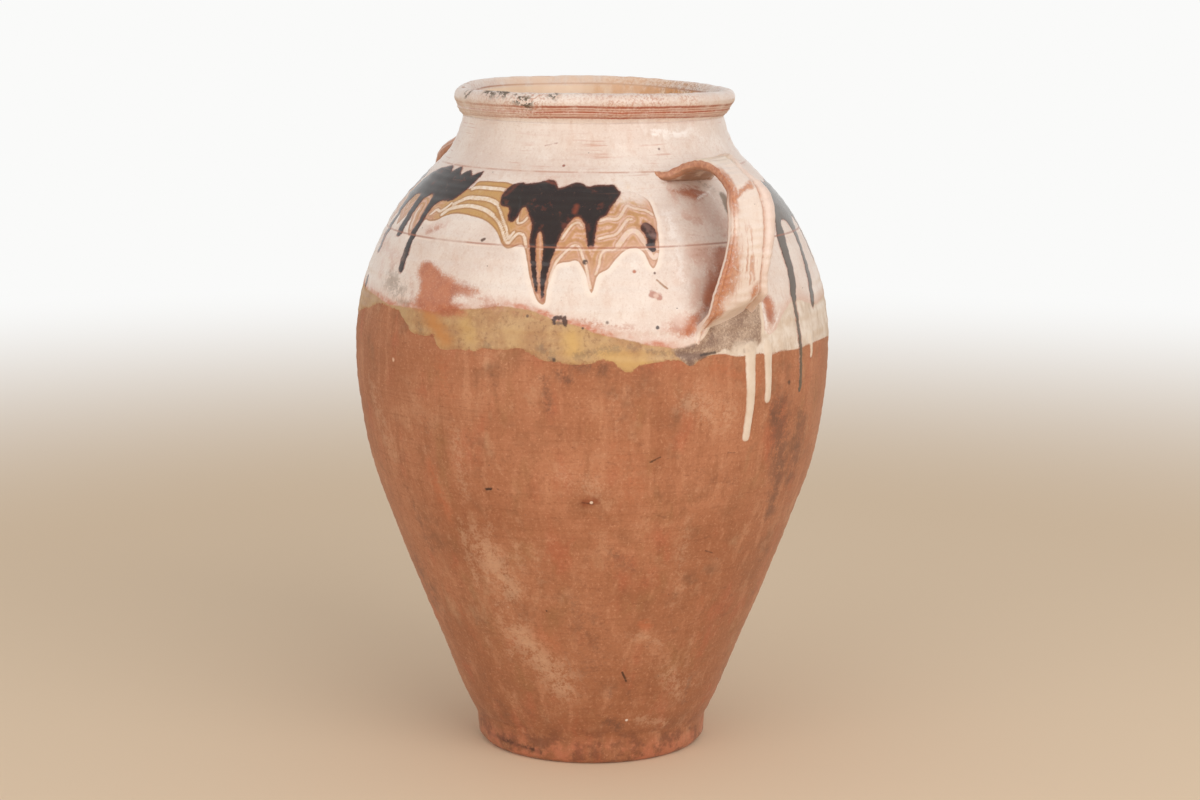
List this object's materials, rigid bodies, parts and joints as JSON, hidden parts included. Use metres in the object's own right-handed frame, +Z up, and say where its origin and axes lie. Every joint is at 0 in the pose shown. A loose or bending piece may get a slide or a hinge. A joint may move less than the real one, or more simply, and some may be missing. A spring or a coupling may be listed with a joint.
{
  "type": "confit pot",
  "caption": "Tall earthenware storage jar with a swelling belly, a narrow foot, a rolled rim, strap handles on its shoulders, and a poured glaze inside and over its top half.",
  "frame": {"origin": "middle of the flat ring that the foot stands on, on the jar's turning axis", "axes": "+Z up along the turning axis; the handles lie on +X and -X"},
  "size_m": [0.3574, 0.322, 0.4531],
  "materials": {
    "terracotta": "matte fired clay, unglazed, with throwing streaks and soot",
    "slip_glaze": "white slip under clear lead-type glaze, poured ochre and manganese decoration, glossy",
    "honey_glaze": "clear honey glaze over clay, glossy",
    "handle_glaze": "white slip under clear glaze, worn to the clay along the ribs"
  },
  "bodies": {
    "root": {"clay_wall": "terracotta", "outer_glaze": "slip_glaze", "inner_glaze": "honey_glaze", "handle_right": "handle_glaze", "handle_left": "handle_glaze"}
  },
  "joints": []
}
